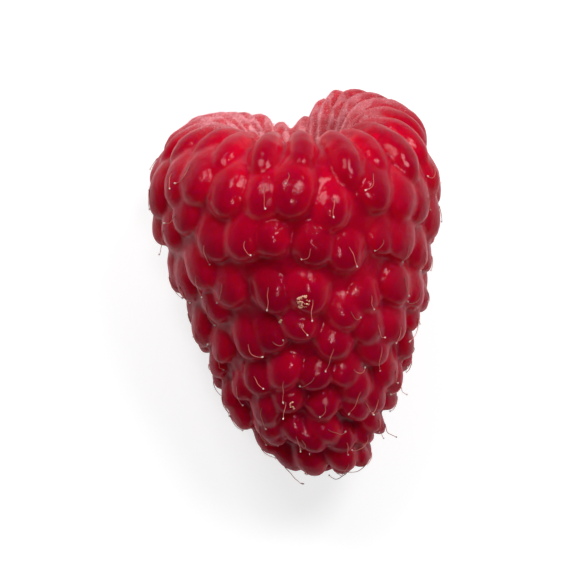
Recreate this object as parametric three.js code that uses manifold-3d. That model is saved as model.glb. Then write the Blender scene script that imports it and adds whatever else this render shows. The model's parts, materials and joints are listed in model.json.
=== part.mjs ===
// A picked raspberry lying on its side: about 180 drupelets grown together into one hollow, conical fruit.
// Millimetres and degrees. The berry's axis runs towards +Y from its rounded tip to the open mouth left by
// the core, +X is to the berry's right seen from above, and +Z is up from the surface that it rests on.
import * as THREE from "three";
import { mergeVertices } from "three/addons/utils/BufferGeometryUtils.js";
import Module from "manifold-3d";

const wasm = await Module();
wasm.setup();

// Driving dimensions.
const berry = {
  restTilt: 13.5, // the mouth end lies higher than the tip, because the berry is a cone on its side
  restHeight: 5.55, // how far the tip's pole stands over the surface
  rise: 1.85, // how far a drupelet's crown stands over the bed it grows on
  lean: 0.65, // how far the crown leans over towards the tip, and less round the tip's pole
  wave: 0.6, // how far the rings of drupelets stray from level
};

// The bed that the drupelets grow on, from the tip up the outside, over the rim and down the hollow, as
// [radius, height along the axis].
const bed = new THREE.SplineCurve(
  [
    [0, 2.6], [1.7, 2.9], [3.1, 4.1], [4.5, 6.3], [5.8, 9.1], [7.0, 12.4], [8.1, 16.2], [9.0, 19.9],
    [9.4, 23.1], [8.4, 25.5], [6.3, 26.7], [4.9, 25.5], [4.4, 22.5], [4.1, 18.0], [3.4, 14.0], [2.0, 11.2],
    [0, 10.4],
  ].map(([radius, height]) => new THREE.Vector2(radius, height)),
);
const bedLength = bed.getLength();

// Rings of drupelets: how far up the bed, how many, and how far the first stands round from +X. At the rim the
// drupelets of the upper side are wider than those of the under side, by such a share.
const rings = [
  { at: 1.2, count: 3, from: 40 },
  { at: 3.0, count: 8, from: 65 },
  { at: 4.8, count: 11, from: 69 },
  { at: 6.6, count: 14, from: 81 },
  { at: 8.7, count: 17, from: 80 },
  { at: 11.2, count: 19, from: 88 },
  { at: 14.1, count: 20, from: 90 },
  { at: 17.4, count: 21, from: 89 },
  { at: 21.2, count: 23, from: 83 },
  { at: 24.5, count: 23, from: 89 },
  { at: 27.4, count: 23, from: 86, upperWide: 0.2 },
];

// The last ring's drupelets run on over the rim and fade out in the hollow: how far up the bed, and how much
// of their rise is left.
const rimRows = [
  { at: 28.8, left: 0.95 },
  { at: 30.4, left: 0.62 },
  { at: 32.2, left: 0.4 },
  { at: 34.2, left: 0.18 },
];

// Then the hollow is smooth down to its bottom: how far up the bed, and with how many corners round it.
const hollowRows = [
  { at: 36.5, count: 24 },
  { at: 39.8, count: 20 },
  { at: 43.2, count: 16 },
  { at: 46.2, count: 8 },
];

// How high the skin stands, as a share of the crown: on the shoulder of a drupelet, in the crease between two
// and in the pit between three. The shoulder lies partway from the crown to the crease or pit.
const relief = { shoulder: 0.85, crease: 0.48, pit: 0.24, shoulderAt: 0.62 };

// The rim waves: lobes and dips, each at an angle round the axis, so high and so many degrees wide.
const rim = {
  level: -0.2,
  lobes: [
    { at: 314, height: 2.15, width: 45 },
    { at: 208, height: 0.3, width: 40 },
    { at: 98, height: -0.2, width: 50 },
    { at: 268, height: -1.6, width: 16 },
  ],
};

const degrees = THREE.MathUtils.degToRad;
const fullTurn = 2 * Math.PI;

// An even scatter from -0.5 to 0.5, the same each time.
function scatter(a, b) {
  const x = Math.sin(a * 12.9898 + b * 78.233) * 43758.5453;
  return x - Math.floor(x) - 0.5;
}

// The rings run in waves round the berry, calmer at its tip and its rim.
function ringWave(turn, at) {
  const calm = Math.min(at / 10, 1) * THREE.MathUtils.clamp((30 - at) / 6, 0, 1);
  return berry.wave * calm * (Math.sin(2 * turn + 0.14 * at) + 1.5 * Math.cos(8 * turn - 0.75));
}

// How far the rim stands over or under its mean height, at an angle round the axis.
function rimLift(angle) {
  return rim.lobes.reduce((lift, lobe) => {
    const away = THREE.MathUtils.euclideanModulo(THREE.MathUtils.radToDeg(angle) - lobe.at + 180, 360) - 180;
    return lift + lobe.height * Math.exp(-((away / lobe.width) ** 2));
  }, rim.level);
}

// From the upright, round berry to the grown one: its rim waves, its tip bends to one side, and it lies down.
function settle(x, z, height) {
  const angle = (Math.atan2(z, x) + fullTurn) % fullTurn;
  const { smoothstep } = THREE.MathUtils;
  const rise = rimLift(angle) * smoothstep(height, 17, 27);
  const bend = 0.9 * smoothstep(20 - height, 0, 9) + 1.6 * smoothstep(7 - height, 0, 7);
  return new THREE.Vector3(x + bend, height + rise, z)
    .applyAxisAngle(new THREE.Vector3(1, 0, 0), degrees(berry.restTilt))
    .add(new THREE.Vector3(0, 0, berry.restHeight));
}

// The skin is laid out on a flat round map of the bed, with the tip in the middle: x and y on the map, z over
// it.
function onMap(along, turn, over) {
  return new THREE.Vector3(along * Math.cos(turn), along * Math.sin(turn), over);
}

// From the map to the berry. What stands over the bed leans towards the tip.
function offMap(point) {
  const out = Math.hypot(point.x, point.y);
  const along = out - berry.lean * Math.min(out / 6, 1) * (point.z / berry.rise);
  const turn = Math.atan2(point.y, point.x);
  const share = THREE.MathUtils.clamp(along / bedLength, 0, 1);
  const onBed = bed.getPointAt(share);
  const tangent = bed.getTangentAt(share);
  const radius = onBed.x + point.z * tangent.y;
  const height = onBed.y - point.z * tangent.x;
  return settle(radius * Math.cos(turn), radius * Math.sin(turn), height);
}

// A ring's crowns in turn, with the small differences of what grew.
function crownsOf(ring, index) {
  const places = Array.from({ length: ring.count }, (_, i) => {
    const even = degrees(ring.from) + ((i + 0.4 * scatter(i, index)) / ring.count) * fullTurn;
    const turn = even - (ring.upperWide ?? 0) * Math.cos(even);
    const stray = 1.2 * scatter(i, index + 40) * Math.min(ring.at / 4, 1);
    return {
      along: ring.at + ringWave(turn, ring.at) + stray,
      turn: turn % fullTurn,
      over: berry.rise * (1 + 0.14 * scatter(i, index + 20)),
    };
  });
  return places.sort((a, b) => a.turn - b.turn).map(({ along, turn, over }) => onMap(along, turn, over));
}

// Triangles between two rings of points, each in turn from +X.
function stitch(inner, outer) {
  const turnOf = (ring, i) => {
    const point = ring[i % ring.length];
    const turn = (Math.atan2(point.y, point.x) + fullTurn) % fullTurn;
    return turn + (i < ring.length ? 0 : fullTurn);
  };
  const triangles = [];
  let i = 0;
  let j = 0;
  while (i < inner.length || j < outer.length) {
    const from = [inner[i % inner.length], outer[j % outer.length]];
    const outerNext = i === inner.length || (j < outer.length && turnOf(outer, j + 1) < turnOf(inner, i + 1));
    if (outerNext) {
      j += 1;
      triangles.push([...from, outer[j % outer.length]]);
    } else {
      i += 1;
      triangles.push([...from, inner[i % inner.length]]);
    }
  }
  return triangles;
}

// The lowest place between two or three crowns.
function dip(...crowns) {
  const middle = new THREE.Vector3();
  crowns.forEach((crown) => middle.add(crown));
  middle.divideScalar(crowns.length);
  middle.z *= crowns.length === 2 ? relief.crease : relief.pit;
  return middle;
}

function shoulder(crown, low) {
  const point = crown.clone().lerp(low, relief.shoulderAt);
  point.z = crown.z * relief.shoulder;
  return point;
}

// A twelfth of a drupelet's skin: from its crown over the shoulder to the two low points.
function slice(crown, low, nextLow) {
  const near = shoulder(crown, low);
  const far = shoulder(crown, nextLow);
  return [[crown, near, far], [near, low, nextLow], [near, nextLow, far]];
}

// The skin between three neighbours' crowns.
function cell(crowns) {
  const pit = dip(...crowns);
  return crowns.flatMap((crown, i) => {
    const next = crowns[(i + 1) % 3];
    const crease = dip(crown, next);
    return [...slice(crown, crease, pit), ...slice(next, pit, crease)];
  });
}

// One row of points across all the rim's drupelets: crown, shoulder, crease, shoulder.
function rowOf(crowns) {
  return crowns.flatMap((crown, i) => {
    const next = crowns[(i + 1) % crowns.length];
    const crease = dip(crown, next);
    return [crown, shoulder(crown, crease), crease, shoulder(next, crease)];
  });
}

function strip(row, nextRow) {
  return row.flatMap((point, i) => {
    const j = (i + 1) % row.length;
    return [[point, nextRow[i], nextRow[j]], [point, nextRow[j], row[j]]];
  });
}

// The whole skin as triangles on the map.
function skin() {
  const crowns = rings.map(crownsOf);
  const triangles = cell(crowns[0]);
  crowns.slice(1).forEach((outer, i) => {
    triangles.push(...stitch(crowns[i], outer).flatMap(cell));
  });

  const rimCrowns = crowns.at(-1);
  let last = rowOf(rimCrowns);
  rimRows.forEach(({ at, left }) => {
    const row = rowOf(rimCrowns.map((crown) => onMap(at, Math.atan2(crown.y, crown.x), crown.z * left)));
    triangles.push(...strip(last, row));
    last = row;
  });

  hollowRows.forEach(({ at, count }) => {
    const row = Array.from({ length: count }, (_, i) => onMap(at, ((i + 0.5) / count) * fullTurn, 0));
    triangles.push(...stitch(last, row));
    last = row;
  });
  const bottom = onMap(bedLength, 0, 0);
  last.forEach((point, i) => triangles.push([point, bottom, last[(i + 1) % last.length]]));
  return triangles;
}

function solidOf(geometry) {
  geometry.deleteAttribute("normal");
  geometry.deleteAttribute("uv");
  const merged = mergeVertices(geometry, 1e-4);
  return new wasm.Manifold(
    new wasm.Mesh({
      numProp: 3,
      vertProperties: merged.attributes.position.array,
      triVerts: new Uint32Array(merged.index.array),
    }),
  );
}

// The fruit's own weight presses the drupelets under it flat against the surface.
function raspberry() {
  const grown = new THREE.BufferGeometry().setFromPoints(skin().flat().map(offMap));
  const surface = new THREE.BoxGeometry(80, 80, 20);
  surface.translate(0, 15, -10);
  const mesh = solidOf(grown).subtract(solidOf(surface)).getMesh();
  const geometry = new THREE.BufferGeometry();
  geometry.setAttribute("position", new THREE.BufferAttribute(mesh.vertProperties, mesh.numProp));
  geometry.setIndex(new THREE.BufferAttribute(mesh.triVerts, 1));
  geometry.computeBoundingBox();
  const middle = geometry.boundingBox.getCenter(new THREE.Vector3());
  geometry.translate(-middle.x, -middle.y, 0);
  return geometry;
}

const root = new THREE.Group();
const flesh = new THREE.MeshStandardMaterial({ color: 0xa80a22, roughness: 0.32, metalness: 0 });
const fruit = new THREE.Mesh(raspberry(), flesh);
fruit.name = "raspberry";
root.add(fruit);
export default root;
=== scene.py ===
# A picked raspberry lying on its side: drupelets grown together round a hollow, with dried styles between
# them, scraps of dried blossom on its upper side and pale down on its rim.
import math
import bpy
import numpy as np
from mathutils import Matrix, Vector, noise
from mathutils.bvhtree import BVHTree
from mathutils.kdtree import KDTree
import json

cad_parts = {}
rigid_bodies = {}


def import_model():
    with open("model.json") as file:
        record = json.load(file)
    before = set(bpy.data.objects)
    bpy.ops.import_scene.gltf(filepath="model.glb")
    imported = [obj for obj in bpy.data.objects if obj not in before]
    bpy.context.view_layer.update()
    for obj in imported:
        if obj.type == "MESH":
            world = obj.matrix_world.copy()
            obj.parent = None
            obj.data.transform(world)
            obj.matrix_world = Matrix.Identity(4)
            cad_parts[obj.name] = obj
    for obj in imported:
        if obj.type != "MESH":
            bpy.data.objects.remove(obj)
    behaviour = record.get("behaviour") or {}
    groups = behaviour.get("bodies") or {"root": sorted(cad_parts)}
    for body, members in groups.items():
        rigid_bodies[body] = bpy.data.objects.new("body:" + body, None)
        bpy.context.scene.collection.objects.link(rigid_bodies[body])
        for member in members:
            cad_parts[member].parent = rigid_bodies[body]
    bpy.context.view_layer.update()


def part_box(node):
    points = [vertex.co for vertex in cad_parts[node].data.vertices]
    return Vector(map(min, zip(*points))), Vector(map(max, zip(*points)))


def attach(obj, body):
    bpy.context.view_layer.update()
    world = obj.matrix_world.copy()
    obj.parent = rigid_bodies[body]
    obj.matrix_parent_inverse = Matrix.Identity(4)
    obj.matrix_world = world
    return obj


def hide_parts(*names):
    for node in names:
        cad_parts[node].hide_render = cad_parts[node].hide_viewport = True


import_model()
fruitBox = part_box("raspberry")
mm = 0.001
print("frame loaded")


# the form is in millimetres, measured along the bed that the drupelets grow on
berry = {
    "restTilt": 13.5,  # degrees that the mouth end lies higher than the tip
    "restHeight": 5.55,  # the tip's pole over the floor
    "bed": [  # radius and height along the axis, from the tip over the rim and down the hollow
        (0, 2.6), (1.7, 2.9), (3.1, 4.1), (4.5, 6.3), (5.8, 9.1), (7.0, 12.4), (8.1, 16.2), (9.0, 19.9),
        (9.4, 23.1), (8.4, 25.5), (6.3, 26.7), (4.9, 25.5), (4.4, 22.5), (4.1, 18.0), (3.4, 14.0),
        (2.0, 11.2), (0, 10.4),
    ],
    "bends": [(20, 9, 0.9), (7, 7, 1.6)],  # below a height, over a length, the tip bends so far to its right
    "rimLevel": -0.2,  # how far the rim stands over or under the bed's end
    "rimLobes": [(314, 2.15, 45), (208, 0.3, 40), (98, -0.2, 50), (268, -1.6, 16)],  # degrees, mm, degrees
    "rimGrows": (17, 27),  # the heights between which the rim's lobes come in
    "rise": 1.85,  # a drupelet's crown over the bed
    "root": 1.3,  # and its root under it
    "fill": [(0, 0.2), (7, 0.7), (18, 1.0)],  # the flesh that they share: place along the bed, thickness
    "fillFades": (25.5, 31),  # where that flesh gives out, over the rim
    "lean": 0.65,  # how far a crown leans towards the tip, and less round the tip's pole
    "leanFrom": 6,
    "slant": 1.25,  # how far up the bed the root lies from the crown: each lies over the next as a scale does
    "slantFrom": 12,
    "fuller": 0.14,  # how much fuller it is at its lower end, and thinner at its upper
    "width": ((3, 12), (1.0, 1.3)),  # as a share of its room in the ring, near the tip and further up
    "widestAt": 0.6,  # the share of its rise where it is that wide
    "rings": [  # place along the bed, how many, half a drupelet's length, turn of the first in degrees
        (1.2, 3, 1.0, 40), (3.0, 8, 1.1, 65), (4.8, 11, 1.25, 69), (6.6, 14, 1.4, 81), (8.7, 17, 1.55, 80),
        (11.2, 19, 1.7, 88), (14.1, 20, 1.9, 90), (17.4, 21, 2.1, 89), (21.2, 23, 2.2, 83),
        (24.5, 23, 2.4, 89),
    ],
    "wave": 0.6,  # how far the rings stray from level
    "waveGrows": ((0, 10, 24, 30), (0, 1, 1, 0)),  # places along the bed, and the share of the wave there
    "broadWaves": (2, 0.14),  # how many round the berry, and radians that they turn a mm along it
    "smallWaves": (8, -0.75, 1.5),  # how many, radians where they start, and how high beside the broad ones
    "stray": 1.2,  # how far one drupelet strays from its ring, and less up to a place
    "strayGrows": 4,
    "sizes": 0.2,  # how much they differ in size
    "turned": 0.4,  # how far one is moved round, as a share of its room
    "skew": 0.8,  # how far one stands askew
    "rimRise": [(26.5, 1.1), (28.2, 1.0), (30.0, 0.84), (32.0, 0.7), (34.0, 0.5)],  # place, share of the rise
    "hollowRings": [  # as the rings, for the small inner ends of the drupelets
        (35.0, 24, 1.5, 0), (37.4, 22, 1.5, 8), (39.8, 19, 1.5, 3), (42.2, 15, 1.5, 12), (44.3, 9, 1.3, 0),
    ],
    "hollowRise": 0.3,
    "hollowWidth": 1.12,
    "hollowTurned": 0.3,
    "skinStep": 0.2,  # the grain of the skin's mesh
    "softening": (0.5, 2),  # how strongly the meeting drupelets are smoothed, and how many times
    "unevenness": [(1.6, 0.11), (0.7, 0.035)],  # mm across and mm high: swellings and dents of the skin
    "sharpFrom": 60,  # degrees between two faces from which their edge stays sharp
    "fleshGrain": (120, 110),  # faces round and along
    "buds": {  # faces round and along, and boxiness: 2 is a plain egg, more is fuller shoulders
        "ring": (26, 18, 2.1), "rim": (44, 44, 2.1), "hollow": (12, 8, 2.2),
    },
}

# the last ring's drupelets are long and run on over the rim, wider on the upper side, where the rim hangs
# over, and squeezed on the under side
rim = {
    "at": 29.9, "count": 23, "half": 4.8, "turn": 86,
    "upperWide": 0.2,
    "width": 1.07,
    "waveAt": 27,  # they follow the wave of a ring at this place
    "fullness": 0.6,  # 1 tapers evenly from the middle, less keeps the fullness nearly to both ends
    "rootLeft": 0.4,  # share of the root's depth that stays where the rise has run out
    "turned": 0.34, "sizes": 0.16, "stray": 0.8, "skew": 0.7,
    "downStart": -0.36,  # where the down starts, from -1 at a drupelet's lower end to 1 in the hollow
    "downRight": 0.1,  # it starts further in on the right
    "downUpper": 0.28,  # and on the upper side
    "downFade": 0.5,
    "outerEnd": (0.28, 0.98),  # where its outer end comes to count as an edge, 1 being the end itself
}

# painted sheen: a pale veil painted on the drupelets' flanks, at the sides of the fruit, and not on its top
flankSheen = {
    "thick": ((8, 22), (0.02, 0.1)),  # from the tip's rings to the mouth's
    "side": (0.35, 0.9),  # how far out to the side it comes in
    "along": (-0.3, 0.9),  # it thickens towards a drupelet's upper end
}


scatterSpan = (-0.5, 0.5)

# a scatter's second number, added to the ring's where there is one, so that a drupelet's differences don't go
# together
seeds = {
    "turn": 0, "size": 20, "stray": 40, "skew": 60, "tint": 100,
    "innerTurn": 80, "innerTint": 120, "styleLost": 200, "styleTint": 7,
}


def scatter(a, b):
    # an even scatter over its span, the same each time
    x = math.sin(a * 12.9898 + b * 78.233) * 43758.5453
    return x - math.floor(x) - 0.5


def differ(what, i, ring):
    # how one drupelet of a ring differs from the others in one thing
    return scatter(i, ring + seeds[what])


def ringWave(turn, at):
    # rings of drupelets run in waves round the berry, calmer at its tip and its rim
    broad, turning = berry["broadWaves"]
    small, start, high = berry["smallWaves"]
    waves = math.sin(broad * turn + turning * at) + high * math.cos(small * turn + start)
    return berry["wave"] * np.interp(at, *berry["waveGrows"]) * waves


def smoothStep(value, low, high):
    share = np.clip((value - low) / (high - low), 0, 1)
    return share * share * (3 - 2 * share)


def drawBed(corners, steps=60):
    # a smooth curve through the corners, measured along its length
    points = np.array([corners[0], *corners, corners[-1]], float)
    line = []
    for before, start, end, after in zip(points, points[1:], points[2:], points[3:]):
        t = np.linspace(0, 1, steps, endpoint=False)[:, None]
        slopeIn, slopeOut = (end - before) / 2, (after - start) / 2
        line.append((2 * t**3 - 3 * t**2 + 1) * start + (t**3 - 2 * t**2 + t) * slopeIn
                    + (3 * t**2 - 2 * t**3) * end + (t**3 - t**2) * slopeOut)
    line = np.concatenate([*line, points[-1:]])
    length = np.concatenate([[0], np.cumsum(np.linalg.norm(np.diff(line, axis=0), axis=1))])
    slope = np.gradient(line, length, axis=0)
    return {"length": length, "radius": line[:, 0], "height": line[:, 1], "slope": slope}


bed = drawBed(berry["bed"])


def overBed(along, over):
    # radius and height of a place over the bed; past the tip's pole it comes out on the far side
    side = np.where(along < 0, -1.0, 1.0)
    at = np.clip(np.abs(along), 0, bed["length"][-1])
    outward, upward = bed["slope"].T
    radius = np.interp(at, bed["length"], bed["radius"]) + over * np.interp(at, bed["length"], upward)
    height = np.interp(at, bed["length"], bed["height"]) - over * np.interp(at, bed["length"], outward)
    return side * radius, height


def rimLift(angle):
    # the rim waves: each lobe or dip stands at an angle round the axis, with a height and a width
    lift = berry["rimLevel"]
    for at, height, width in berry["rimLobes"]:
        away = (np.degrees(angle) - at + 180) % 360 - 180
        lift = lift + height * np.exp(-((away / width) ** 2))
    return lift


def settle(x, z, height):
    # from the upright, round berry to the grown one, lying on its side; in metres
    angle = np.arctan2(z, x) % (2 * math.pi)
    for below, length, far in berry["bends"]:
        x = x + far * smoothStep(below - height, 0, length)
    height = height + rimLift(angle) * smoothStep(height, *berry["rimGrows"])
    tilt = math.radians(berry["restTilt"])
    y = height * math.cos(tilt) - z * math.sin(tilt)
    up = height * math.sin(tilt) + z * math.cos(tilt) + berry["restHeight"]
    return np.stack([x, y, up], axis=-1) * mm


def deselectAll():
    if bpy.context.object and bpy.context.object.mode == "EDIT":
        bpy.ops.object.mode_set(mode="OBJECT")
    bpy.ops.object.select_all(action="DESELECT")


def makeActive(thing):
    deselectAll()
    thing.select_set(True)
    bpy.context.view_layer.objects.active = thing


def joinAll(things, name):
    makeActive(things[0])
    for thing in things:
        thing.select_set(True)
    bpy.ops.object.join()
    things[0].name = things[0].data.name = name
    return things[0]


def coordsOf(mesh):
    flat = np.empty(len(mesh.vertices) * 3, np.float32)
    mesh.vertices.foreach_get("co", flat)
    return flat.reshape(-1, 3).astype(float)


def setCoords(mesh, coords):
    mesh.vertices.foreach_set("co", coords.astype(np.float32).ravel())
    mesh.update()


def bud(segments, rings, boxiness):
    # one unopened drupelet, a little boxier than an egg, with its crown towards +Z
    deselectAll()
    bpy.ops.mesh.primitive_uv_sphere_add(segments=segments, ring_count=rings, radius=1)
    made = bpy.context.object
    coords = coordsOf(made.data)
    across = np.hypot(coords[:, 0], coords[:, 1])
    reach = (across**boxiness + np.abs(coords[:, 2]) ** boxiness) ** (1 / boxiness)
    setCoords(made.data, coords / reach[:, None])
    return made


def mark(mesh, name, value):
    # one value for all of a mesh's points, which its material reads
    attribute = mesh.attributes.new(name, "FLOAT", "POINT")
    attribute.data.foreach_set("value", np.full(len(mesh.vertices), value, np.float32))


def skinOf(fruit):
    faces = [face.vertices for face in fruit.data.polygons]
    return BVHTree.FromPolygons([vertex.co for vertex in fruit.data.vertices], faces)


grown = {"points": [], "edge": [], "tint": [], "velvetAndSheen": [], "places": []}


def roundEdge(across, along, up):
    return np.hypot(across, along)


def ridgeEdge(across, along, up):
    # a long drupelet that runs over the rim is a ridge: its edges are its two sides and its outer end
    sides = np.abs(across) / np.maximum(np.hypot(across, up), 1e-6)
    outerEnd = np.interp(-along, rim["outerEnd"], (0, 1))
    return np.maximum(sides, outerEnd)


def grow(template, name, basket, place, velvetAndSheen=lambda along: 0 * along, tint=0.0, edge=roundEdge):
    # a copy of the bud with its own mesh, its points put where place says; what it looks like is noted too
    mesh = template.data.copy()
    across, along, up = coordsOf(mesh).T
    points = place(across, along, up)
    setCoords(mesh, points)
    basket.objects.link(bpy.data.objects.new(name, mesh))
    seen = up > 0
    grown["points"].append(points[seen])
    grown["edge"].append(edge(across, along, up)[seen])
    grown["tint"].append(np.full(seen.sum(), tint))
    grown["velvetAndSheen"].append(velvetAndSheen(along)[seen])


def putAcross(turn, radius, height, aside):
    # a place beside a drupelet's middle line, on the grown berry
    x = radius * math.cos(turn) - aside * math.sin(turn)
    z = radius * math.sin(turn) + aside * math.cos(turn)
    return settle(x, z, height)


def fruitPlace(ring, turn, size, shift, skew):
    at, count, half, _ = ring
    ringRadius = abs(overBed(np.array(at), berry["rise"] * berry["widestAt"])[0])
    halfAngle = math.pi / count * np.interp(at, *berry["width"])
    lean = berry["lean"] * min(at / berry["leanFrom"], 1)
    slant = berry["slant"] * min(at / berry["slantFrom"], 1)

    def place(across, along, up):
        fuller = 1 - berry["fuller"] * along
        over = np.where(up > 0, up * berry["rise"] * size, up * berry["root"]) * fuller
        on = at + shift + along * half * size - lean + slant * (1 - np.maximum(up, 0))
        radius, height = overBed(on, over)
        aside = across * fuller * halfAngle * ringRadius * size + skew * along
        return putAcross(turn, radius, height, aside)

    return place


def rimPlace(share, size, shift, skew):
    even = math.radians(rim["turn"]) + share * 2 * math.pi
    turn = even - rim["upperWide"] * math.cos(even)
    halfAngle = math.pi / rim["count"] * rim["width"] * (1 + rim["upperWide"] * math.sin(even))
    shift = shift + ringWave(turn, rim["waveAt"])
    stations, shares = zip(*berry["rimRise"])

    def place(across, along, up):
        run = np.sign(along) * np.abs(along) ** rim["fullness"]
        on = rim["at"] + shift + run * rim["half"]
        left = np.interp(on, stations, shares)
        rootLeft = rim["rootLeft"] + (1 - rim["rootLeft"]) * left
        over = np.where(up > 0, up * berry["rise"] * size * left, up * berry["root"] * rootLeft)
        radius, height = overBed(on - berry["lean"] * up * left, over)
        aside = across * halfAngle * radius * size + skew * along / 2
        return putAcross(turn, radius, height, aside)

    return place


def hollowPlace(ring, turn):
    at, count, half, _ = ring
    halfAngle = math.pi / count * berry["hollowWidth"]

    def place(across, along, up):
        over = up * berry["hollowRise"]
        radius, height = overBed(at + along * half, over)
        aside = across * halfAngle * radius
        return putAcross(turn, radius, height, aside)

    return place


def flesh():
    # the flesh that the drupelets share, a sphere turned inside its own mouth
    deselectAll()
    segments, ringCount = berry["fleshGrain"]
    bpy.ops.mesh.primitive_uv_sphere_add(segments=segments, ring_count=ringCount, radius=1)
    made = bpy.context.object
    coords = coordsOf(made.data)
    total = bed["length"][-1]
    along = np.arccos(np.clip(-coords[:, 2], -1, 1)) / math.pi * total
    turn = np.arctan2(coords[:, 1], coords[:, 0])
    fill = np.interp(along, *zip(*berry["fill"])) * (1 - smoothStep(along, *berry["fillFades"]))
    radius, height = overBed(along, fill)
    pole = (along < 1e-4) | (along > total - 1e-4)
    radius = np.where(pole, 0, radius)
    setCoords(made.data, settle(radius * np.cos(turn), radius * np.sin(turn), height))
    return made


def plantRings(basket, template):
    for r, ring in enumerate(berry["rings"]):
        at, count, _, first = ring
        for i in range(count):
            turned = berry["turned"] * differ("turn", i, r)
            turn = math.radians(first) + (i + turned) / count * 2 * math.pi
            size = 1 + berry["sizes"] * differ("size", i, r)
            stray = berry["stray"] * differ("stray", i, r) * min(at / berry["strayGrows"], 1)
            skew = berry["skew"] * differ("skew", i, r)
            place = fruitPlace(ring, turn, size, ringWave(turn, at) + stray, skew)
            # painted sheen on the flanks, carried in the same attribute as the rim's real down
            downAndSheen = np.interp(at, *flankSheen["thick"]) * smoothStep(abs(math.cos(turn)), *flankSheen["side"])
            grow(template, f"drupelet{r}.{i}", basket, place, tint=differ("tint", i, r),
                 velvetAndSheen=lambda along: downAndSheen * smoothStep(along, *flankSheen["along"]))
            grown["places"].append((place, r, i))


def plantRim(basket, template):
    r = len(berry["rings"])
    for i in range(rim["count"]):
        share = (i + rim["turned"] * differ("turn", i, r)) / rim["count"]
        even = math.radians(rim["turn"]) + share * 2 * math.pi
        start = rim["downStart"] + rim["downRight"] * math.cos(even)
        start += rim["downUpper"] * max(math.sin(even), 0)
        size = 1 + rim["sizes"] * differ("size", i, r)
        stray, skew = rim["stray"] * differ("stray", i, r), rim["skew"] * differ("skew", i, r)
        place = rimPlace(share, size, stray, skew)
        grow(template, f"rimDrupelet{i}", basket, place, tint=differ("tint", i, r),
             velvetAndSheen=lambda along: smoothStep(along, start, start + rim["downFade"]), edge=ridgeEdge)


def plantHollow(basket, template):
    for r, ring in enumerate(berry["hollowRings"]):
        _, count, _, first = ring
        for i in range(count):
            turned = berry["hollowTurned"] * differ("innerTurn", i, r)
            turn = math.radians(first) + (i + turned) / count * 2 * math.pi
            place = hollowPlace(ring, turn)
            grow(template, f"innerEnd{r}.{i}", basket, place, tint=differ("innerTint", i, r),
                 velvetAndSheen=lambda along: 1 + 0 * along)


def pressFlat(fruit):
    # what would hang under the floor is pressed flat
    makeActive(fruit)
    bpy.ops.object.mode_set(mode="EDIT")
    bpy.ops.mesh.select_all(action="SELECT")
    bpy.ops.mesh.bisect(plane_co=(0, 0, 0), plane_no=(0, 0, 1), use_fill=True, clear_inner=True,
                        threshold=0.001 * mm)
    bpy.ops.object.mode_set(mode="OBJECT")


def growFruit():
    basket = bpy.data.collections.new("drupelets")
    bpy.context.scene.collection.children.link(basket)
    buds = [bud(*shape) for shape in berry["buds"].values()]
    for plant, template in zip((plantRings, plantRim, plantHollow), buds):
        plant(basket, template)
    fruit = flesh()
    fruit.name = fruit.data.name = "fruit"
    join = fruit.modifiers.new("grownTogether", "BOOLEAN")
    join.operation = "UNION"
    join.operand_type = "COLLECTION"
    join.collection = basket
    join.solver = "MANIFOLD"
    bpy.context.view_layer.objects.active = fruit
    bpy.ops.object.modifier_apply(modifier=join.name)
    for leftover in [*buds, *basket.objects]:
        bpy.data.objects.remove(leftover)
    bpy.data.collections.remove(basket)
    soften(fruit)
    paintFruit(fruit)
    pressFlat(fruit)
    coords = coordsOf(fruit.data)
    middle = (coords.min(0) + coords.max(0)) / 2
    wanted = (fruitBox[0] + fruitBox[1]) / 2
    grown["shift"] = (wanted.x - middle[0], wanted.y - middle[1], 0)
    setCoords(fruit.data, coords + grown["shift"])
    makeActive(fruit)
    bpy.ops.object.shade_smooth_by_angle(angle=math.radians(berry["sharpFrom"]))
    print("fruit", len(fruit.data.polygons), "faces")
    return fruit


def paintFruit(fruit):
    # each point of the skin takes its look from the nearest drupelet: how near its edge it is, how velvety
    # and which tint
    points = np.concatenate(grown["points"])
    tree = KDTree(len(points))
    for i, point in enumerate(points):
        tree.insert(point, i)
    tree.balance()
    nearest = np.array([tree.find(point)[1] for point in coordsOf(fruit.data)])
    for name in ("edge", "tint", "velvetAndSheen"):
        attribute = fruit.data.attributes.new(name, "FLOAT", "POINT")
        attribute.data.foreach_set("value", np.concatenate(grown[name])[nearest].astype(np.float32))


def soften(fruit):
    # drupelets meet in soft clefts, so the joined form is skinned anew and smoothed a little
    skin = fruit.modifiers.new("skin", "REMESH")
    skin.mode = "VOXEL"
    skin.voxel_size = berry["skinStep"] * mm
    skin.use_smooth_shade = True
    smooth = fruit.modifiers.new("soften", "SMOOTH")
    smooth.factor, smooth.iterations = berry["softening"]
    bpy.context.view_layer.objects.active = fruit
    for modifier in (skin.name, smooth.name):
        bpy.ops.object.modifier_apply(modifier=modifier)
    coords = coordsOf(fruit.data)
    normals = np.array([v.normal for v in fruit.data.vertices])
    for across, high in berry["unevenness"]:
        swell = np.array([noise.noise(Vector(point) / (across * mm)) for point in coords])
        coords = coords + normals * (swell * high * mm)[:, None]
    setCoords(fruit.data, coords)
    print("skin", len(fruit.data.polygons), "faces")


def linear(hexColour):
    # sRGB hex to the linear colour that shaders take
    parts = [int(hexColour[i:i + 2], 16) / 255 for i in (1, 3, 5)]
    return (*[p / 12.92 if p <= 0.04045 else ((p + 0.055) / 1.055) ** 2.4 for p in parts], 1)


fromTo = ("From Min", "From Max", "To Min", "To Max")


def addNode(tree, kind, settings={}, links={}, values={}):
    # adds a node: settings are its own properties, links what feeds its sockets, values the other sockets'
    # numbers
    node = tree.nodes.new(kind)
    for name, value in settings.items():
        setattr(node, name, value)
    for name, value in values.items():
        node.inputs[name].default_value = value
    for name, source in links.items():
        tree.links.new(source, node.inputs[name])
    return node


def newMaterial(name):
    made = bpy.data.materials.new(name)
    made.use_nodes = True
    made.node_tree.nodes.clear()
    return made, made.node_tree


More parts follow.
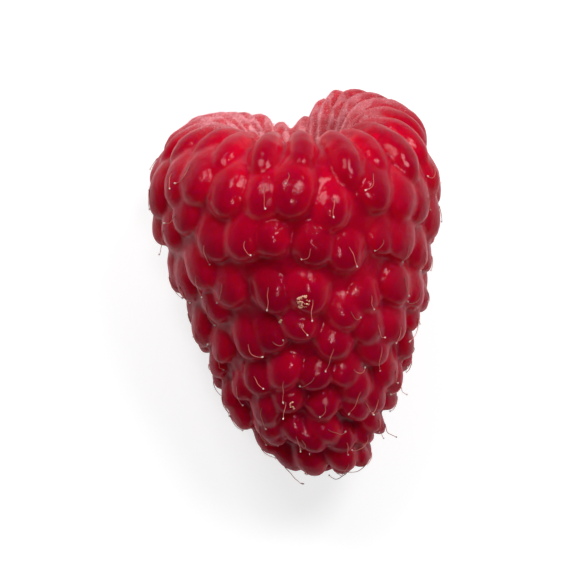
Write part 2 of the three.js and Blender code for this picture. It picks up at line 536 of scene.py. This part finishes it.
drupeletSkin = {
    # the edge's and the cleft's reds are brighter than the crown's: painted glow where light comes through
    # the skin
    "crown": ("#9c002a", "#a80028"),  # over the seed, where the juice is deep: at the tip and at the mouth
    "edge": ("#b4002c", "#cc002a"),  # near its edge, where light comes through
    "cleft": ("#a00028", "#c00028"),  # deep between two
    # where each comes in, from the crown, 0, to the edge, 1
    "spans": {"crown": (0, 0.01), "edge": (0.3, 0.8), "cleft": (0.78, 1.0)},
    # all the reds are brighter towards the mouth: painted glow where the light comes in from the mouth's side
    "glowTowardsMouth": (-11 * mm, 13 * mm),  # from the tip's reds to the mouth's
    "uneven": 0.14,  # how far one drupelet is lighter or darker than the next
    # the pale velvet colour is real down on the rim and in the hollow, and painted sheen on the flanks
    "velvetAndSheen": "#fcaeb4",  # fine pale down on the rim and in the hollow
    # the pale line along a ridge is partly a painted highlight on the crests
    "ridgeDownAndHighlight": (1.0, 0.25),  # along a ridge and at its sides
    "velvetThins": (0.02, 0.6),  # from one to the other
    "velvetLeast": {"tufts": 0.7, "felt": 0.6},  # share that is left where each grain is thinnest
    "tufts": 1.1 * mm,  # patches of thicker and thinner down, and of moister and drier skin
    "felt": 0.22 * mm,  # drawn coarser than real down, which would be too fine to see
    "detail": 3.0,
    "thinsOver": (0.36, 0.64),  # the values of a grain over which the velvet goes from least to full
    "depth": (1.0, 0.09, 0.07),  # how far red, green and blue light goes
    "depthScale": 4.0 * mm,
    "sinks": ((0, 0.6), (1, 0.1)),  # from bare skin to thick velvet, and the share of light that sinks in
    "gloss": (0.09, 0.19),  # roughness of moist and of drier patches
    "driesOver": (0.35, 0.65),  # the values of a grain from the one to the other
    "downRoughness": 0.6,
    "matteOver": (0.3, 1.0),  # the velvet over which the skin turns as rough as down
    "pimples": 0.45 * mm,  # the seed's wrinkles showing through, which mottle the shine
    "pimpleHeight": 0.045 * mm,
    "ior": 1.4,
    "level": 0.4,
    "shineTint": "#ffd8dc",  # shine that took up a little red under the skin
    "sheen": 0.7,  # down too fine to see
    "sheenSpread": 0.4,
    "sheenTint": "#ff4860",
}


def makeDrupeletSkin():
    # raspberry skin: thin, moist and translucent over red juice; the eye sees deep red, small wet lights and,
    # on the rim, a pale velvet
    look = drupeletSkin
    made, tree = newMaterial("raspberrySkin")
    edge, tint, velvetAndSheen = [addNode(tree, "ShaderNodeAttribute", {"attribute_name": name}).outputs["Fac"]
                          for name in ("edge", "tint", "velvetAndSheen")]
    where = addNode(tree, "ShaderNodeTexCoord").outputs["Object"]
    grains = {name: addNode(tree, "ShaderNodeTexNoise", links={"Vector": where},
                            values={"Scale": 1 / look[name], "Detail": look["detail"]}).outputs["Fac"]
              for name in ("tufts", "felt", "pimples")}
    # deep red over the seed, and brighter towards the edge and crimson in the clefts: painted glow where
    # light comes through the skin
    split = addNode(tree, "ShaderNodeSeparateXYZ", links={"Vector": where})
    towardsMouth = addNode(tree, "ShaderNodeMapRange", links={"Value": split.outputs["Y"]},
                   values=dict(zip(fromTo, look["glowTowardsMouth"])))
    red = None
    for name, span in look["spans"].items():
        shade = addNode(tree, "ShaderNodeMix", {"data_type": "RGBA"}, {"Factor": towardsMouth.outputs[0]})
        shade.inputs["A"].default_value, shade.inputs["B"].default_value = map(linear, look[name])
        near = addNode(tree, "ShaderNodeMapRange", links={"Value": edge}, values=dict(zip(fromTo, span)))
        before = red or shade
        red = addNode(tree, "ShaderNodeMix", {"data_type": "RGBA"}, {
            "Factor": near.outputs[0], "A": before.outputs["Result"], "B": shade.outputs["Result"]})
    bright = addNode(tree, "ShaderNodeMapRange", links={"Value": tint},
                     values=dict(zip(fromTo, (*scatterSpan, 1 - look["uneven"], 1 + look["uneven"]))))
    red = addNode(tree, "ShaderNodeHueSaturation",
                  links={"Color": red.outputs["Result"], "Value": bright.outputs[0]})
    # the down stands thicker along a ridge than at its sides, in tufts, and is felted; the paler line along a
    # ridge is also a painted highlight where light catches the crests
    thick = addNode(tree, "ShaderNodeMapRange", {"interpolation_type": "SMOOTHSTEP"}, {"Value": edge},
                    dict(zip(fromTo, (*look["velvetThins"], *look["ridgeDownAndHighlight"]))))
    downAndSheen = [velvetAndSheen, thick.outputs[0]]
    for name, least in look["velvetLeast"].items():
        patch = addNode(tree, "ShaderNodeMapRange", links={"Value": grains[name]},
                        values=dict(zip(fromTo, (*look["thinsOver"], least, 1))))
        downAndSheen.append(patch.outputs[0])
    while len(downAndSheen) > 1:
        both = addNode(tree, "ShaderNodeMath", {"operation": "MULTIPLY"}, {0: downAndSheen.pop(), 1: downAndSheen.pop()})
        downAndSheen.append(both.outputs[0])
    pink = addNode(tree, "ShaderNodeMix", {"data_type": "RGBA"}, {"Factor": downAndSheen[0], "A": red.outputs[0]})
    pink.inputs["B"].default_value = linear(look["velvetAndSheen"])
    # moist patches shine more than drier ones, and the down not at all
    dry = addNode(tree, "ShaderNodeMapRange", links={"Value": grains["tufts"]},
                  values=dict(zip(fromTo, (*look["driesOver"], *look["gloss"]))))
    matte = addNode(tree, "ShaderNodeMapRange", links={"Value": velvetAndSheen},
                    values=dict(zip(fromTo, (*look["matteOver"], 0, 1))))
    rough = addNode(tree, "ShaderNodeMix", {"data_type": "FLOAT"},
                    {"Factor": matte.outputs[0], "A": dry.outputs[0]}, {"B": look["downRoughness"]})
    # light sinks into the skin, but stays on the down
    velvetEnds, shares = look["sinks"]
    sinks = addNode(tree, "ShaderNodeMapRange", links={"Value": downAndSheen[0]},
                    values=dict(zip(fromTo, (*velvetEnds, *shares))))
    bump = addNode(tree, "ShaderNodeBump", links={"Height": grains["pimples"]},
                   values={"Distance": look["pimpleHeight"], "Strength": 1.0})
    skin = addNode(tree, "ShaderNodeBsdfPrincipled", links={
        "Base Color": pink.outputs["Result"], "Roughness": rough.outputs["Result"], "Normal": bump.outputs[0],
        "Subsurface Weight": sinks.outputs[0],
    }, values={
        "IOR": look["ior"], "Specular IOR Level": look["level"], "Specular Tint": linear(look["shineTint"]),
        "Subsurface Radius": look["depth"], "Subsurface Scale": look["depthScale"],
        "Sheen Weight": look["sheen"], "Sheen Roughness": look["sheenSpread"],
        "Sheen Tint": linear(look["sheenTint"]),
    })
    addNode(tree, "ShaderNodeOutputMaterial", links={"Surface": skin.outputs[0]})
    return made


clearance = 0.02 * mm  # what stands on the skin stays clear of the floor by this

styleLook = {
    "share": 1.0,  # of the drupelets near the tip, how many still carry theirs
    "shareAtMouth": 0.7,
    "thinsFrom": 6,  # the ring from which fewer do
    "length": (1.2, 2.5),  # mm
    "thickness": 0.075,  # mm at the root
    "taper": 0.45,
    "knob": 0.14,  # mm across the stigma
    "knobShape": [(0.94, 0.8), (0.97, 1.0), (1.0, 0.7)],  # place along the style, share of its width
    "sides": 5,
    "steps": 10,
    "deep": 0.08,  # mm that the root is sunk in the skin
    "rootAt": (0, 0.25, 0.95),  # across, along and up its drupelet, whose half is 1 each way
    "headsFor": (0, -0.45, 0.85),
    "placeStrays": 0.5,
    "wander": 0.2,  # radians a step that it strays from its heading
    "wanderWaves": (1.1, 9),  # radians of that wave a step, and how far its start differs
    "clings": 0.12,
    "curl": 0.3,  # radians a step, at most, for one that dried into a hook
    "curlRare": 3,  # the more, the fewer curl far
    "curlAfter": 4,  # steps until it curls so much
    "standing": 0.2,  # share of them that stand off the skin
    "highest": {"tip": 0.5, "standing": 1.0, "lying": 0.4},  # mm off the skin
    "rootOff": 0.04, "lyingOff": 0.3,  # mm off the skin at the root and, at most, at the end of a lying one
    "standingOff": 0.9,  # how far a standing one's end is off it, as a share of the highest
    "risesLate": 2.5,  # 1 rises evenly along the style, more rises near its end
    "lowest": 0.15,  # mm over the floor, where one nearer to it is left out
    # the stigma's near-white is real paleness and partly a painted glint
    "root": "#8a1824", "shaft": "#dc7468", "stigmaAndGlint": "#ffe4dc",
    "colours": [(0.0, "root"), (0.35, "shaft"), (0.88, "shaft"), (0.95, "stigmaAndGlint")],
    "uneven": (0.55, 1.25),
    "roughness": 0.4,
    "guide": (0.31, 0.2, 0.93),  # a way that none of them runs, to lay their sections by
}


def styleBud():
    # one dried style: a stalk that thins out and ends in a small knob, along +Z from 0 to 1
    deselectAll()
    bpy.ops.mesh.primitive_circle_add(vertices=styleLook["sides"], radius=styleLook["thickness"] / 2,
                                      fill_type="NGON")
    made = bpy.context.object
    bpy.ops.object.mode_set(mode="EDIT")
    bpy.ops.mesh.select_all(action="SELECT")
    steps = styleLook["steps"]
    knob = styleLook["knob"] / styleLook["thickness"]
    widths = [1 - styleLook["taper"] * i / (steps - 1) for i in range(steps)]
    widths += [knob * share for _, share in styleLook["knobShape"]]
    heights = [i / steps for i in range(steps)] + [height for height, _ in styleLook["knobShape"]]
    for i in range(1, len(widths)):
        rise = (0, 0, heights[i] - heights[i - 1])
        bpy.ops.mesh.extrude_region_move(TRANSFORM_OT_translate={"value": rise})
        share = widths[i] / widths[i - 1]
        bpy.ops.transform.resize(value=(share, share, 1), center_override=(0, 0, heights[i]))
    bpy.ops.mesh.select_all(action="SELECT")
    bpy.ops.mesh.normals_make_consistent(inside=False)
    bpy.ops.object.mode_set(mode="OBJECT")
    reach = made.data.attributes.new("reach", "FLOAT", "POINT")
    reach.data.foreach_set("value", coordsOf(made.data)[:, 2].astype(np.float32))
    return made


def layStyle(skin, place, seed, ring):
    # the path of one style: from the top of its drupelet down towards the tip, close over the skin, bridging
    # clefts
    look = styleLook
    one, two, three, four, five = [scatter(seed, k + 0.5) for k in range(5)]
    strays = np.array([one, two, 0]) * look["placeStrays"]
    root = look["rootAt"] + strays
    towards = look["headsFor"] + strays + [three * look["placeStrays"], 0, 0]
    start, ahead = [Vector(place(*[np.array([v]) for v in local])[0]) for local in (root, towards)]
    length = np.interp(four, scatterSpan, look["length"]) * mm
    step = length / (look["steps"] - 1)
    heading = (ahead - start).normalized()
    hit, normal, _, _ = skin.find_nearest(start)
    path = [hit - normal * look["deep"] * mm]
    curl = look["curl"] * np.sign(one) * abs(2 * one) ** look["curlRare"]
    atTip = ring == 0
    standing = atTip or five + 0.5 < look["standing"]
    highest = look["highest"]["tip" if atTip else "standing" if standing else "lying"]
    endOff = look["standingOff"] * highest if standing else look["lyingOff"] * (0.5 + two)
    waves, waveStart = look["wanderWaves"]
    for i in range(1, look["steps"]):
        wander = look["wander"] * math.sin(waves * i + waveStart * three)
        turn = heading.cross(normal) * (wander + curl * i / look["curlAfter"])
        heading = (heading + turn - normal * (0 if standing else look["clings"])).normalized()
        spot = path[-1] + heading * step
        hit, normal, _, _ = skin.find_nearest(spot)
        gap = (spot - hit).dot(normal)
        lift = (look["rootOff"] + endOff * (i / look["steps"]) ** look["risesLate"]) * mm
        spot = hit + normal * min(max(gap, lift), highest * mm)
        heading = (heading * 0.5 + (spot - path[-1]).normalized() * 0.5).normalized()
        path.append(spot)
    return np.array(path)


def frameAcross(forward, guide):
    # two directions square to each way forward, and to each other
    sideways = np.cross(forward, guide)
    sideways /= np.linalg.norm(sideways, axis=1)[:, None]
    return sideways, np.cross(forward, sideways)


def bendAlong(local, path):
    # the style's own points, carried from its straight axis to the path
    stations = np.linspace(0, 1, len(path))
    slope = np.gradient(path, axis=0)
    slope /= np.linalg.norm(slope, axis=1)[:, None]
    along, forward = [np.stack([np.interp(local[:, 2], stations, line[:, k]) for k in range(3)], axis=1)
                      for line in (path, slope)]
    sideways, upright = frameAcross(forward, styleLook["guide"])
    points = along + (sideways * local[:, :1] + upright * local[:, 1:2]) * mm
    points[:, 2] = np.maximum(points[:, 2], clearance)
    return points


def dress(fruit):
    # every style is a copy of the first, bent along its own path
    first = styleBud()
    local = coordsOf(first.data)
    skin = skinOf(fruit)
    shift = np.array(grown["shift"])
    rings = [styleLook["thinsFrom"], len(berry["rings"]) - 1]
    styles = []
    for number, (place, ring, i) in enumerate(grown["places"]):
        share = np.interp(ring, rings, [styleLook["share"], styleLook["shareAtMouth"]])
        if differ("styleLost", i, ring) + 0.5 > share:
            continue
        path = layStyle(skin, lambda a, b, c: place(a, b, c) + shift, number, ring)
        if path[:, 2].min() < styleLook["lowest"] * mm:
            continue
        mesh = first.data.copy()
        setCoords(mesh, bendAlong(local, path))
        mark(mesh, "tint", scatter(number, seeds["styleTint"]))
        style = bpy.data.objects.new(f"style{number}", mesh)
        bpy.context.scene.collection.objects.link(style)
        styles.append(style)
    print("styles", len(styles))
    joined = joinAll(styles, "driedStyles")
    bpy.ops.object.shade_smooth()
    bpy.data.objects.remove(first)
    return joined


def makeDriedStyle():
    # a dried style: papery and reddish brown, darker at its root, with a small pale stigma; its near-white is
    # partly a painted glint
    made, tree = newMaterial("driedStyle")
    reach, tint = [addNode(tree, "ShaderNodeAttribute", {"attribute_name": name}).outputs["Fac"]
                   for name in ("reach", "tint")]
    ramp = addNode(tree, "ShaderNodeValToRGB", links={"Fac": reach})
    stops = ramp.color_ramp.elements
    for number, (at, name) in enumerate(styleLook["colours"]):
        stop = stops[number] if number < 2 else stops.new(at)
        stop.position, stop.color = at, linear(styleLook[name])
    shade = addNode(tree, "ShaderNodeMapRange", links={"Value": tint},
                    values=dict(zip(fromTo, (*scatterSpan, *styleLook["uneven"]))))
    tinted = addNode(tree, "ShaderNodeHueSaturation",
                     links={"Color": ramp.outputs["Color"], "Value": shade.outputs[0]})
    paper = addNode(tree, "ShaderNodeBsdfPrincipled", links={"Base Color": tinted.outputs["Color"]},
                    values={"Roughness": styleLook["roughness"]})
    addNode(tree, "ShaderNodeOutputMaterial", links={"Surface": paper.outputs[0]})
    return made


downLook = {
    "count": 13000,
    "length": (0.15, 0.34),  # mm
    "thickness": 0.024,  # mm, drawn coarser than real down
    "deep": 0.03,  # mm that a hair is sunk in the skin
    "from": 0.2,  # the velvet that is thick enough to carry hairs
    "over": 0.6,  # mm over the floor from which they stand
    "gathers": 1.5,  # the more, the more of them stand where the velvet is thick
    "spread": 0.45,
    "combed": (0, -0.35, 0),  # they lean towards the tip
    "seed": 7,
    "guide": (0.3, 0.5, 0.8),  # any way, to lay a hair's section by
    "hair": "#f6aab2",
    "roughness": 0.5,
}


def hairBud():
    # one hair, a thin spike along +Z from 0 to 1
    deselectAll()
    bpy.ops.mesh.primitive_cone_add(vertices=3, radius1=downLook["thickness"] / 2, radius2=0, depth=1,
                                    location=(0, 0, 0.5))
    first = bpy.context.object
    makeActive(first)
    bpy.ops.object.transform_apply(location=True)
    local = coordsOf(first.data)
    faces = [list(face.vertices) for face in first.data.polygons]
    bpy.data.objects.remove(first)
    return local, faces


def growDown(fruit):
    # fine short down that stands thick on the rim and thins out over its outside
    local, faces = hairBud()
    velvetAndSheen = np.empty(len(fruit.data.vertices))
    fruit.data.attributes["velvetAndSheen"].data.foreach_get("value", velvetAndSheen)
    coords = coordsOf(fruit.data)
    normals = np.array([v.normal for v in fruit.data.vertices])
    random = np.random.default_rng(downLook["seed"])
    shown = (velvetAndSheen > downLook["from"]) & (coords[:, 2] > downLook["over"] * mm)
    chance = np.where(shown, velvetAndSheen ** downLook["gathers"], 0)
    roots = random.choice(len(coords), downLook["count"], replace=False, p=chance / chance.sum())
    lean = random.normal(size=(len(roots), 3)) * downLook["spread"] + np.array(downLook["combed"])
    directions = normals[roots] + lean
    directions /= np.linalg.norm(directions, axis=1)[:, None]
    sideways, upright = frameAcross(directions, downLook["guide"])
    lengths = random.uniform(*downLook["length"], len(roots))
    points, every = [], []
    for root, direction, side, up, length in zip(coords[roots], directions, sideways, upright, lengths):
        every += [[corner + len(local) * len(points) for corner in face] for face in faces]
        points.append(root - direction * downLook["deep"] * mm + (
            local[:, :1] * side + local[:, 1:2] * up + local[:, 2:] * length * direction) * mm)
    points = np.concatenate(points)
    points[:, 2] = np.maximum(points[:, 2], clearance)
    mesh = bpy.data.meshes.new("down")
    mesh.from_pydata(points.tolist(), [], every)
    down = bpy.data.objects.new("down", mesh)
    bpy.context.scene.collection.objects.link(down)
    print("down", len(roots), "hairs")
    return down


def makeDown():
    # plant down: fine, dry and colourless, taking a little red from the skin
    made, tree = newMaterial("paleDown")
    hair = addNode(tree, "ShaderNodeBsdfPrincipled", values={
        "Roughness": downLook["roughness"], "Base Color": linear(downLook["hair"])})
    addNode(tree, "ShaderNodeOutputMaterial", links={"Surface": hair.outputs[0]})
    return made


scrapLook = {
    # where on the upper side and how far across, in mm, and how many crumbs
    "clumps": [((0.6, -2.9), 0.95, 44), ((-0.2, -10.2), 0.5, 12), ((-0.95, -4.2), 0.5, 12)],
    "crumb": (0.04, 0.1),  # half its length in mm
    "craggy": 0.5, "crags": 1.3,  # how high and how fine its crags are
    "wide": (0.1, 1.1), "flat": 0.7,  # its width and thickness, as shares of that
    "around": 7,  # radians over which they lie, a little more than a full turn
    "heap": (1.5, 0.3),  # how high one lies in the middle of its clump and at its edge, in half lengths
    "dropped": 0.05,  # metres over the floor from which it comes down on the skin
    "dark": "#98302c", "pale": "#ffc4a4",
    "pales": (-0.5, 0.2),  # the scatter from the one to the other
    "roughness": 0.7,
}


def crumbBud():
    deselectAll()
    bpy.ops.mesh.primitive_ico_sphere_add(subdivisions=2, radius=1)
    first = bpy.context.object
    local = coordsOf(first.data)
    crags = [noise.noise(Vector(point) * scrapLook["crags"]) for point in local]
    craggy = [[1 + scrapLook["craggy"] * crag] for crag in crags]
    setCoords(first.data, local * np.array(craggy))
    return first


def growScraps(fruit):
    # dried scraps of blossom that stick to the skin, each a clump of little crumbs
    first = crumbBud()
    local = coordsOf(first.data)
    skin = skinOf(fruit)
    crumbs = []
    for (x, y), across, count in scrapLook["clumps"]:
        for i in range(count):
            one, two, three, four = [scatter(i + 0.37 * k, x + y + k) for k in range(4)]
            out = across / 2 * math.sqrt(one + 0.5)
            turn = scrapLook["around"] * two
            over = ((x + out * math.cos(turn)) * mm, (y + out * math.sin(turn)) * mm, scrapLook["dropped"])
            hit, normal, _, _ = skin.ray_cast(Vector(over), Vector((0, 0, -1)))
            size = np.interp(three, scatterSpan, scrapLook["crumb"]) * mm
            wide = np.interp(four, scatterSpan, scrapLook["wide"])
            turned = np.array(Vector((four, one, two)).to_track_quat("Z", "Y").to_matrix())
            heap = size * np.interp(2 * out / across, (0, 1), scrapLook["heap"])
            mesh = first.data.copy()
            points = local * [1, wide, scrapLook["flat"]] @ turned * size
            setCoords(mesh, points + np.array(hit + normal * heap))
            mark(mesh, "tint", four)
            crumb = bpy.data.objects.new("crumb", mesh)
            bpy.context.scene.collection.objects.link(crumb)
            crumbs.append(crumb)
    print("dried scraps", len(crumbs))
    joined = joinAll(crumbs, "driedScraps")
    bpy.data.objects.remove(first)
    return joined


def makeScrap():
    # dried blossom: crumbly and dull, straw to brown from one crumb to the next
    made, tree = newMaterial("driedBlossom")
    tint = addNode(tree, "ShaderNodeAttribute", {"attribute_name": "tint"}).outputs["Fac"]
    share = addNode(tree, "ShaderNodeMapRange", links={"Value": tint},
                    values=dict(zip(fromTo, (*scrapLook["pales"], 0, 1))))
    straw = addNode(tree, "ShaderNodeMix", {"data_type": "RGBA"}, {"Factor": share.outputs[0]})
    straw.inputs["A"].default_value = linear(scrapLook["dark"])
    straw.inputs["B"].default_value = linear(scrapLook["pale"])
    dull = addNode(tree, "ShaderNodeBsdfPrincipled", links={"Base Color": straw.outputs["Result"]},
                   values={"Roughness": scrapLook["roughness"]})
    addNode(tree, "ShaderNodeOutputMaterial", links={"Surface": dull.outputs[0]})
    return made


fruit = growFruit()
fruit.data.materials.clear()
fruit.data.materials.append(makeDrupeletSkin())
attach(fruit, "root")
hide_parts("raspberry")

styles = dress(fruit)
styles.data.materials.clear()
styles.data.materials.append(makeDriedStyle())
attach(styles, "root")

scraps = growScraps(fruit)
scraps.data.materials.append(makeScrap())
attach(scraps, "root")

down = growDown(fruit)
down.data.materials.append(makeDown())
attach(down, "root")


stageLook = {
    "floorSize": 0.8,  # metres
    "floor": "#b4b4b4",
    "glow": 0.72,
    "mirrored": 0.4,  # the part of the glow that the fruit's shine mirrors
}


def makeFloor():
    # a sheet of white paper, lit from behind so that the eye sees plain white with a faint shadow
    deselectAll()
    bpy.ops.mesh.primitive_plane_add(size=stageLook["floorSize"], location=(0, 0, 0))
    floor = bpy.context.object
    floor.name = "floor"
    made, tree = newMaterial("whitePaperSheet")
    matte = addNode(tree, "ShaderNodeBsdfDiffuse", values={"Color": linear(stageLook["floor"])})
    glow = addNode(tree, "ShaderNodeEmission", values={"Color": (1, 1, 1, 1), "Strength": stageLook["glow"]})
    both = addNode(tree, "ShaderNodeAddShader", links={0: matte.outputs[0], 1: glow.outputs[0]})
    path = addNode(tree, "ShaderNodeLightPath")
    shown = addNode(tree, "ShaderNodeMath", {"operation": "MULTIPLY_ADD"},
                    {0: path.outputs["Is Glossy Ray"], 2: path.outputs["Is Camera Ray"]},
                    {1: stageLook["mirrored"]})
    mix = addNode(tree, "ShaderNodeMixShader",
                  links={0: shown.outputs[0], 1: matte.outputs[0], 2: both.outputs[0]})
    addNode(tree, "ShaderNodeOutputMaterial", links={"Surface": mix.outputs[0]})
    floor.data.materials.append(made)


def makeLamp(name, place, aim, size, power, mirrored):
    data = bpy.data.lights.new(name, "AREA")
    data.shape = "RECTANGLE"
    data.size, data.size_y = size
    data.energy = power
    lamp = bpy.data.objects.new(name, data)
    bpy.context.scene.collection.objects.link(lamp)
    lamp.location = place
    lamp.rotation_mode = "QUATERNION"
    lamp.rotation_quaternion = (Vector(aim) - Vector(place)).to_track_quat("-Z", "Y")
    lamp.visible_glossy = mirrored


lamps = {  # place, size in metres, watts, and whether the skin's shine shows it
    "softboxLeft": ((-0.15, 0.28, 0.42), (0.18, 0.2), 0.82, True),
    "softboxRight": ((0.21, 0.21, 0.44), (0.18, 0.2), 1.22, True),
    "softboxBehind": ((0, 0.42, 0.3), (0.36, 0.2), 0.84, False),
    "windowAbove": ((0.06, -0.12, 0.48), (0.06, 0.09), 0.33, True),
}
lampsAim = (0, 0, 0.01)
makeFloor()
for name, (place, size, power, mirrored) in lamps.items():
    makeLamp(name, place, lampsAim, size, power, mirrored)


roomLook = {
    "wall": 0.42, "ceiling": 0.05,
    "wallEnds": (0.05, 0.45),  # from level, 0, to straight up, 1
    "back": 0.5,  # the share of the light that comes from behind the eye
    "from": (-0.5, 0.9),  # from behind the eye, -1, to the lamps' side, 1
}


def makeRoom():
    # pale walls, paler on the lamps' side, and a dark ceiling; the eye sees white all round
    world = bpy.data.worlds.new("room")
    bpy.context.scene.world = world
    world.use_nodes = True
    tree = world.node_tree
    tree.nodes.clear()
    where = addNode(tree, "ShaderNodeTexCoord")
    split = addNode(tree, "ShaderNodeSeparateXYZ", links={"Vector": where.outputs["Generated"]})
    level = addNode(tree, "ShaderNodeMapRange", links={"Value": split.outputs["Z"]},
                    values=dict(zip(fromTo, (*roomLook["wallEnds"], roomLook["wall"], roomLook["ceiling"]))))
    side = addNode(tree, "ShaderNodeMapRange", links={"Value": split.outputs["Y"]},
                   values=dict(zip(fromTo, (*roomLook["from"], roomLook["back"], 1))))
    both = addNode(tree, "ShaderNodeMath", {"operation": "MULTIPLY"},
                   {0: level.outputs[0], 1: side.outputs[0]})
    path = addNode(tree, "ShaderNodeLightPath")
    seen = addNode(tree, "ShaderNodeMix", {"data_type": "FLOAT"},
                   {"Factor": path.outputs["Is Camera Ray"], "A": both.outputs[0]}, {"B": 1.0})
    sky = addNode(tree, "ShaderNodeBackground", links={"Strength": seen.outputs["Result"]},
                  values={"Color": (1, 1, 1, 1)})
    addNode(tree, "ShaderNodeOutputWorld", links={"Surface": sky.outputs[0]})


makeRoom()

lens = {  # degrees and metres
    "elevation": 83, "distance": 0.45,
    "shows": 0.04415,  # across the frame at the fruit
    "aside": 0.0004, "below": 0.00108,  # how far the frame's middle is from the fruit's
    "sensor": 36,  # mm
    "clip": (0.01, 10),
}


def makeCamera():
    middle = (fruitBox[0] + fruitBox[1]) / 2
    data = bpy.data.cameras.new("camera")
    camera = bpy.data.objects.new("camera", data)
    bpy.context.scene.collection.objects.link(camera)
    bpy.context.scene.camera = camera
    tilt = math.radians(lens["elevation"])
    back = Vector((0, -math.cos(tilt), math.sin(tilt)))
    right, above = Vector((1, 0, 0)), Vector((0, math.sin(tilt), math.cos(tilt)))
    aim = middle - right * lens["aside"] - above * lens["below"]
    camera.location = aim + back * lens["distance"]
    camera.rotation_mode = "QUATERNION"
    camera.rotation_quaternion = (-back).to_track_quat("-Z", "Y")
    data.sensor_width = lens["sensor"]
    data.lens = lens["sensor"] * lens["distance"] / lens["shows"]
    data.clip_start, data.clip_end = lens["clip"]


makeCamera()
bpy.context.scene.view_settings.view_transform = "Standard"
